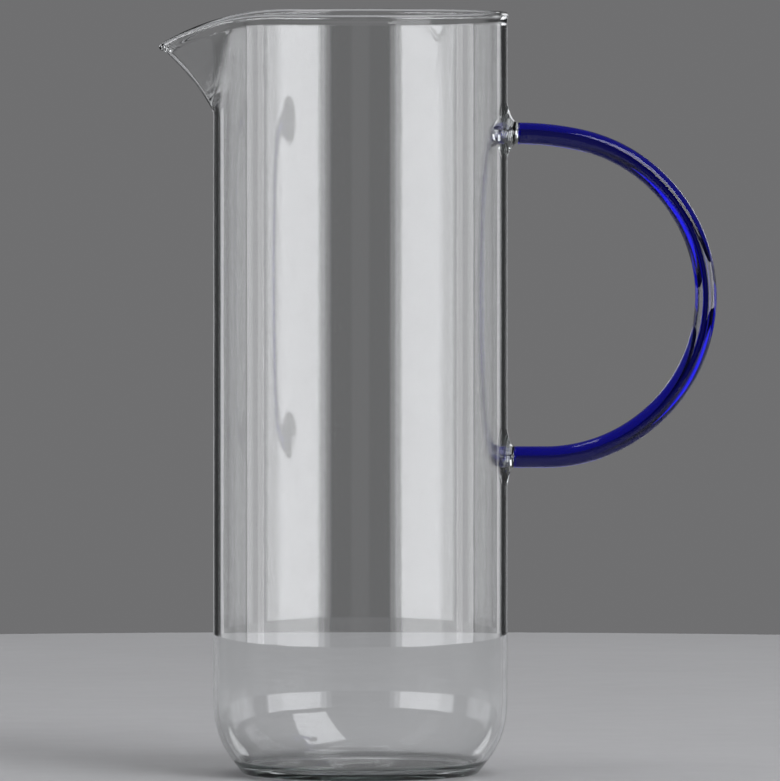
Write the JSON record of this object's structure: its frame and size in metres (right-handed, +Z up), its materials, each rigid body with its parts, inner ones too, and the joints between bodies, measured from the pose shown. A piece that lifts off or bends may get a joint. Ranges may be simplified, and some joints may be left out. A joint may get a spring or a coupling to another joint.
{
  "type": "glass jug",
  "caption": "Tall clear glass water jug: straight round body, drawn-in heel, pulled pouring lip, and a blue glass rod handle joined by clear glass dots.",
  "frame": {"origin": "centre of the base, on the plane of the foot ring that the jug stands on", "axes": "+Z up along the round body's axis; the handle points to +X and the pouring lip to -X; the two halves match across the XZ plane"},
  "size_m": [0.1813, 0.0966, 0.248],
  "materials": {
    "clear_glass": "gloss",
    "weld_glass": "gloss",
    "cobalt_glass": "gloss"
  },
  "bodies": {
    "root": {"jug_body": "clear_glass", "upper_handle_weld": "weld_glass", "lower_handle_weld": "weld_glass", "handle": "cobalt_glass"}
  },
  "joints": []
}
